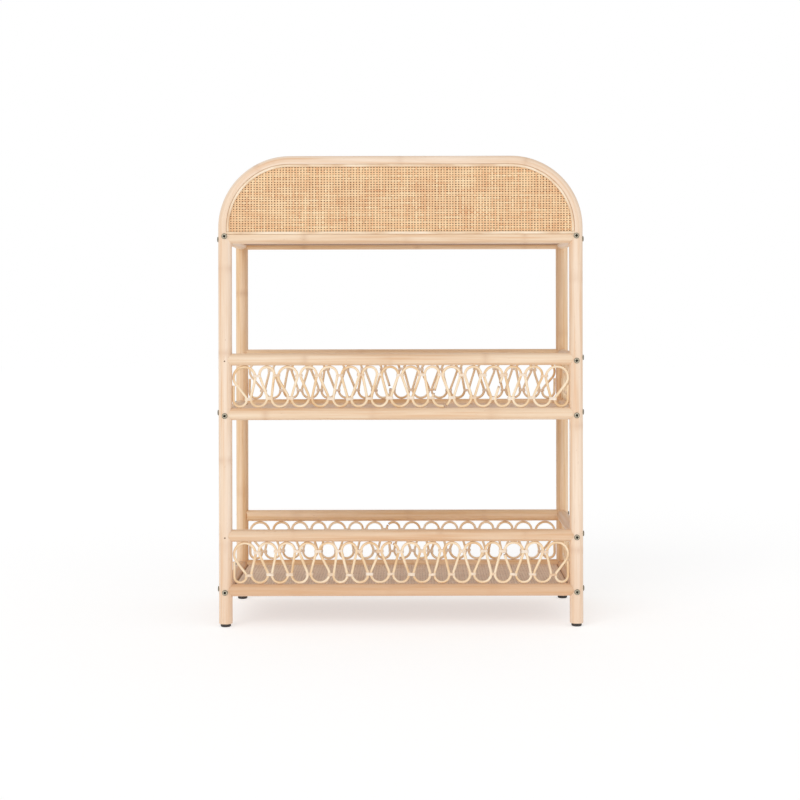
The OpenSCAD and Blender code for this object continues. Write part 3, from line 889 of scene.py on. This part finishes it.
def strand_points(order, height):
    """The strand's middle line: a tail up the first post, the loops and legs, and the last tail."""
    tail = TAIL_SHARE * height - height / 2
    first = order[0]
    points = [Vector((first.x - first.radius, 0, z)) for z in (tail, (tail + first.z) / 2)]
    heading = -math.pi / 2
    for i, loop in enumerate(order):
        leaving = leg(loop, order[i + 1]) if i + 1 < len(order) else math.pi / 2
        swing = leaving - heading
        turn = -1 if loop.is_arch else 1
        # An arch turns to the right and a bow to the left, always by less than a full turn
        swing = turn * ((turn * swing) % (2 * math.pi))
        steps = max(3, round(abs(swing) * loop.radius / STRAND_STEP))
        for k in range(steps + 1):
            way = heading + swing * k / steps
            aside = way - turn * math.pi / 2
            points.append(Vector((loop.x + loop.radius * math.cos(aside), 0,
                                  loop.z + loop.radius * math.sin(aside))))
        heading = leaving
        if i + 1 < len(order):
            points += straight(points[-1], order[i + 1], heading)
    last = order[-1]
    points += [Vector((last.x + last.radius, 0, z)) for z in ((tail + last.z) / 2, tail)]
    return points


def straight(start, loop, heading):
    """The points of a leg, without its two ends, which belong to the loops."""
    turn = -1 if loop.is_arch else 1
    aside = heading - turn * math.pi / 2
    end = Vector((loop.x + loop.radius * math.cos(aside), 0, loop.z + loop.radius * math.sin(aside)))
    count = max(1, round((end - start).length / (2 * STRAND_STEP)))
    return [start.lerp(end, k / count) for k in range(1, count)]


def wavering(points, rng):
    """Lets the strand stand a little in front of or behind its plane, and off its drawn line."""
    phases = [rng.uniform(0, 2 * math.pi) for _ in range(4)]
    run = 0.0
    moved = [points[0].copy()]
    for a, b in zip(points, points[1:]):
        run += (b - a).length
        out = 0.0011 * math.sin(run / 0.031 + phases[0]) + 0.0006 * math.sin(run / 0.0123 + phases[1])
        side = 0.0005 * math.sin(run / 0.021 + phases[2])
        rise = 0.0003 * math.sin(run / 0.017 + phases[3])
        moved.append(b + Vector((side, out, rise)))
    return moved


def add_strand(form, order, height, place, rng):
    """The whole strand, cut in a few places where one length of cane ends and the next begins."""
    points = wavering(strand_points(order, height), rng)
    count = len(points)
    cuts = sorted(rng.sample(range(20, count - 20), max(1, count // 260)))
    starts = [0] + cuts
    ends = [cut - 1 for cut in cuts] + [count - 1]
    for begin, end in zip(starts, ends):
        run = points[begin:end + 1]
        steps = len(run)
        phase = rng.uniform(0, 6)
        thickness = [1 + 0.05 * math.sin(i / 9 + phase) for i in range(steps)]
        marks = [0.0] * steps
        if begin > 0:
            marks[0] = 1.0
        if end < count - 1:
            marks[-1] = 1.0
        placed = [place @ point for point in run]
        sweep(form, placed, place.to_3x3() @ Y, STRAND_SIDES, STRAND / 2 * 0.97, rng, thickness, marks)


def add_tie(form, x, z, spread, place, rng):
    """A few turns of cane round two neighbouring stretches of the strand."""
    turns = rng.choice((2, 3, 3))
    high = TIE_HEIGHT * rng.uniform(0.85, 1.2)
    band = STRAND / 2 + TIE_WRAP * 0.55
    start = Vector((rng.uniform(0, 9), rng.uniform(0, 9), rng.uniform(0, 9)))
    verts = ring(form, TIE_SIDES, band, start)
    made = list(verts)
    half = (STRAND + LOOP_GAP * 0.8) / 2 + spread
    for vert in verts:
        vert.co.x += math.copysign(half, vert.co.x) * min(1, abs(vert.co.x) / (0.3 * band))
    close(form, verts)
    rings = 2 * turns
    swell = 1 + TIE_WRAP * 0.75 / band
    for i in range(rings):
        wide = swell if i % 2 == 0 else 1 / swell
        step = Matrix.Translation((0, 0, high / rings))
        # Every other ring lies in a groove between two turns, and its mark of 0.35 darkens it there:
        # painted shade.
        verts = carry(form, verts, step, 0.0 if i % 2 == 0 else 0.35)
        lengthen(form, verts, high / rings)
        for vert in verts:
            # Only the band's own thickness swells, and not the distance between the two strands
            flat = Vector((vert.co.x - math.copysign(min(half, abs(vert.co.x)), vert.co.x), vert.co.y, 0))
            vert.co += flat * (wide - 1)
        made += verts
    close(form, verts)
    lean = Matrix.Rotation(rng.uniform(-0.09, 0.09), 4, "Y")
    local = Matrix.Translation((x, 0, z)) @ lean @ Matrix.Translation((0, 0, -high / 2))
    bmesh.ops.transform(form, matrix=place @ local, verts=made)


def sag(z, loop):
    """How far a loop's middle line draws back from a tie at height z."""
    return (abs(z - loop.z) + TIE_HEIGHT / 2) ** 2 / (2 * loop.radius)


def add_ties(form, upper, lower, tops, bottoms, place, rng):
    for ties, loops in ((upper, tops), (lower, bottoms)):
        for i, x in enumerate(ties):
            z = (loops[i].z + loops[i + 1].z) / 2
            spread = max(sag(z, loops[i]), sag(z, loops[i + 1])) / 2
            add_tie(form, x, z, spread, place, rng)


def gallery_place(node, side):
    """Where a gallery lies: its own X runs along the side from post to post, and its Z up."""
    low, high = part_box(node)
    middle = (low + high) / 2
    if side in ("front", "back"):
        start = -(post_x - hoop_radius)
        length = -2 * start
        place = Matrix.Translation((start, middle.y, middle.z))
    else:
        start = front_y + hoop_radius
        length = back_y - back_radius - start
        place = Matrix.Translation((middle.x, start, middle.z)) @ Matrix.Rotation(math.pi / 2, 4, "Z")
    return place, length, high.z - low.z


def make_galleries():
    """The left side is open, so it has none."""
    for tier in ("bottom", "middle"):
        for side in ("front", "back", "right"):
            node = f"{side}_gallery_{tier}"
            rng = random.Random(node)
            place, length, height = gallery_place(node, side)
            order, upper, lower, tops, bottoms = gallery_loops(length, height, rng)
            strand = new_form()
            add_strand(strand, order, height, place, rng)
            piece(f"{node}_cane", strand, [node], "strand_core", 50)
            node = f"{side}_ties_{tier}"
            ties = new_form()
            add_ties(ties, upper, lower, tops, bottoms, place, rng)
            piece(f"{node}_cane", ties, [node], "tie_binding", 70)


# ---- Screws and nails ----

def head_top(form, radius):
    """The flat of a screw head, about the origin and facing +Z, with a cross sunk into it."""
    reach = SLOT_LENGTH / 2
    bmesh.ops.create_grid(form, x_segments=3, y_segments=3, size=reach)
    for vert in form.verts:
        for axis in (0, 1):
            if abs(vert.co[axis]) < reach * 0.9:
                vert.co[axis] = math.copysign(SLOT_WIDTH / 2, vert.co[axis])
    arms = [face for face in form.faces
            if min(abs(value) for value in face.calc_center_median().xy) < SLOT_WIDTH / 4]
    sunk = bmesh.ops.extrude_face_region(form, geom=arms)
    fresh = newest(sunk, bmesh.types.BMVert)
    bmesh.ops.delete(form, geom=arms, context="FACES")
    bmesh.ops.scale(form, vec=(0.8, 0.8, 1), verts=fresh)
    bmesh.ops.translate(form, vec=(0, 0, -SLOT_DEPTH), verts=fresh)
    border = [edge for edge in form.edges if len(edge.link_faces) == 1]
    bmesh.ops.subdivide_edges(form, edges=border, cuts=1)
    border = [edge for edge in form.edges if len(edge.link_faces) == 1]
    rim = bmesh.ops.create_circle(form, segments=24, radius=radius)["verts"]
    bmesh.ops.bridge_loops(form, edges=border + between(rim))
    return rim


def lathe_on(form, verts, profile, rim_shade_from=1.0):
    """Draws a ring on through radius and height pairs, from where it is, and marks it with painted shade
    outside the radius rim_shade_from."""
    radius = verts[0].co.xy.length
    height = verts[0].co.z
    for next_radius, next_height in profile:
        grow = Matrix.Diagonal((next_radius / radius, next_radius / radius, 1, 1))
        mark = 1.0 if next_radius >= rim_shade_from else 0.0
        verts = carry(form, verts, Matrix.Translation((0, 0, next_height - height)) @ grow, mark)
        radius, height = next_radius, next_height
    close(form, verts)


def screw_form(length):
    """A pan-head screw, with its shank along -Z and the underside of its head at the origin."""
    form = new_form()
    rim = head_top(form, HEAD / 2 * 0.66)
    bmesh.ops.translate(form, vec=(0, 0, HEAD_HEIGHT), verts=form.verts)
    # The rings outside 0.8 of the head's radius are marked for the painted shade of the rim.
    lathe_on(form, rim, [
        (HEAD / 2 * 0.82, HEAD_HEIGHT * 0.93), (HEAD / 2 * 0.96, HEAD_HEIGHT * 0.80),
        (HEAD / 2, HEAD_HEIGHT * 0.62), (HEAD / 2, 0), (SHANK / 2, 0),
        (SHANK / 2, POINT - length), (SHANK / 10, -length)], HEAD / 2 * 0.8)
    return form


def nail_form(length):
    form = new_form()
    rim = ring(form, 16, NAIL_HEAD / 2 * 0.85, Vector())
    close(form, rim)
    bmesh.ops.translate(form, vec=(0, 0, NAIL_HEAD_THICKNESS), verts=rim)
    lathe_on(form, rim, [(NAIL_HEAD / 2, NAIL_HEAD_THICKNESS * 0.7), (NAIL_HEAD / 2, 0),
                         (NAIL_SHANK / 2, 0), (NAIL_SHANK / 2, -length)])
    return form


def set_fasteners(name, node, spots, make, slot):
    """Copies a screw or a nail to each spot: where the underside of its head is, and where it faces."""
    whole = new_form()
    rng = random.Random(name)
    for place, outward in spots:
        form = make()
        turn = looking(place, outward, Z) @ Matrix.Rotation(rng.uniform(0, math.pi), 4, "Z")
        bmesh.ops.transform(form, matrix=turn, verts=form.verts)
        mesh = bpy.data.meshes.new("fastener")
        form.to_mesh(mesh)
        form.free()
        whole.from_mesh(mesh)
        bpy.data.meshes.remove(mesh)
    piece(name, whole, [node], slot)


def make_fasteners():
    """Screws everywhere but at the left posts' upper rails, which have nails, and pins in front."""
    spots = {"front": [], "back": [], "left": [], "right": [], "nails": [], "pins": []}
    ends = (("front", front_y, hoop_radius, -Y), ("back", back_y, back_radius, Y))
    for level in LEVELS:
        up = SCREW_OFFSET if level == "top" else -SCREW_OFFSET
        z = rail_height(level)
        for end, y, radius, outward in ends:
            for side, x, sideways in (("left", -post_x, -X), ("right", post_x, X)):
                nailed = f"{side}_rail_{level}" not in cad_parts
                seat = radius - NAIL_HEAD_THICKNESS if nailed else radius + HEAD_PROUD - HEAD_HEIGHT
                through = (Vector((x, y, z + up)) + outward * seat, outward)
                across = (Vector((x, y, z - up)) + sideways * seat, sideways)
                spots["nails" if nailed else side].append(across)
                if not nailed:
                    spots[end].append(through)
                elif end == "front":
                    spots["pins"].append(through)
    for side in ("front", "back", "left", "right"):
        node = f"screws_{side}"
        set_fasteners(f"{node}_zinc", node, spots[side], lambda: screw_form(SCREW_LENGTH), "screw_steel")
    for kind, length in (("nails", NAIL_LENGTH), ("pins", PIN_LENGTH)):
        set_fasteners(f"{kind}_left_steel", "nails_left", spots[kind], lambda: nail_form(length),
                      "nail_steel")


# ---- The CAD's own pieces that stay ----

def finish_cad_pieces():
    """Boards, backing and feet keep their CAD shape and get their finish; the backing's very dark finish
    is painted shade behind the arch's webbing.
    """
    kept = {"shelf_board": "plywood", "arch_backing": "panel_plywood_painted_shade", "foot": "foot_rubber"}
    for name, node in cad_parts.items():
        for start, slot in kept.items():
            if name.startswith(start):
                node.data.materials.clear()
                node.data.materials.append(FINISHES[slot])


# ---- Floor, light and camera ----

def make_floor():
    form = bmesh.new()
    bmesh.ops.create_grid(form, x_segments=1, y_segments=1, size=FLOOR_REACH)
    mesh = bpy.data.meshes.new("floor")
    form.to_mesh(mesh)
    form.free()
    floor = bpy.data.objects.new("floor", mesh)
    bpy.context.scene.collection.objects.link(floor)
    finish = Finish("floor_white", 0.9, specular=0.0)
    finish.shader.inputs["Base Color"].default_value = FLOOR_GREY
    finish.shader.inputs["Emission Color"].default_value = (1, 1, 1, 1)
    finish.shader.inputs["Emission Strength"].default_value = FLOOR_GLOW
    mesh.materials.append(finish.material)


def soft_light(name, heading, strength, spread):
    """A broad light from far away, which shines along a heading."""
    light = bpy.data.lights.new(name, "SUN")
    light.energy = strength
    light.angle = math.radians(spread)
    lamp = bpy.data.objects.new(name, light)
    lamp.rotation_euler = Vector(heading).to_track_quat("-Z", "Y").to_euler()
    bpy.context.scene.collection.objects.link(lamp)


def make_light():
    """An even white studio. The backdrop is pure white, and lights the rack a little less than
    it shows."""
    world = bpy.data.worlds.new("studio")
    bpy.context.scene.world = world
    world.use_nodes = True
    tree = world.node_tree
    soft = tree.nodes["Background"]
    soft.inputs["Color"].default_value = (1, 1, 1, 1)
    soft.inputs["Strength"].default_value = STUDIO_LIGHT
    backdrop = tree.nodes.new("ShaderNodeBackground")
    backdrop.inputs["Color"].default_value = (1, 1, 1, 1)
    backdrop.inputs["Strength"].default_value = 1.0
    seen = tree.nodes.new("ShaderNodeLightPath")
    mix = tree.nodes.new("ShaderNodeMixShader")
    tree.links.new(seen.outputs["Is Camera Ray"], mix.inputs[0])
    tree.links.new(soft.outputs[0], mix.inputs[1])
    tree.links.new(backdrop.outputs[0], mix.inputs[2])
    tree.links.new(mix.outputs[0], tree.nodes["World Output"].inputs["Surface"])
    soft_light("key", (0.45, 0.75, -0.50), 0.75, 40)
    soft_light("fill", (-0.60, 0.70, -0.35), 0.30, 50)


def make_camera():
    """A camera in front of the rack, a little right of its middle and above half its height,
    looking level and rolled by a fraction of a degree."""
    camera = bpy.data.cameras.new("camera")
    camera.lens = LENS
    camera.sensor_width = SENSOR
    camera.shift_x, camera.shift_y = CAMERA_SHIFT
    holder = bpy.data.objects.new("camera", camera)
    holder.location = CAMERA_PLACE
    holder.rotation_euler = (math.pi / 2, math.radians(CAMERA_ROLL), 0)
    bpy.context.scene.collection.objects.link(holder)
    bpy.context.scene.camera = holder
    bpy.context.scene.view_settings.view_transform = "Standard"


make_camera()
make_light()
make_floor()
make_rails()
make_hoop()
make_back_posts()
make_beads()
make_arch_webbing()
for tier in ("bottom", "middle", "top"):
    make_shelf_webbing(tier)
make_galleries()
make_fasteners()
finish_cad_pieces()
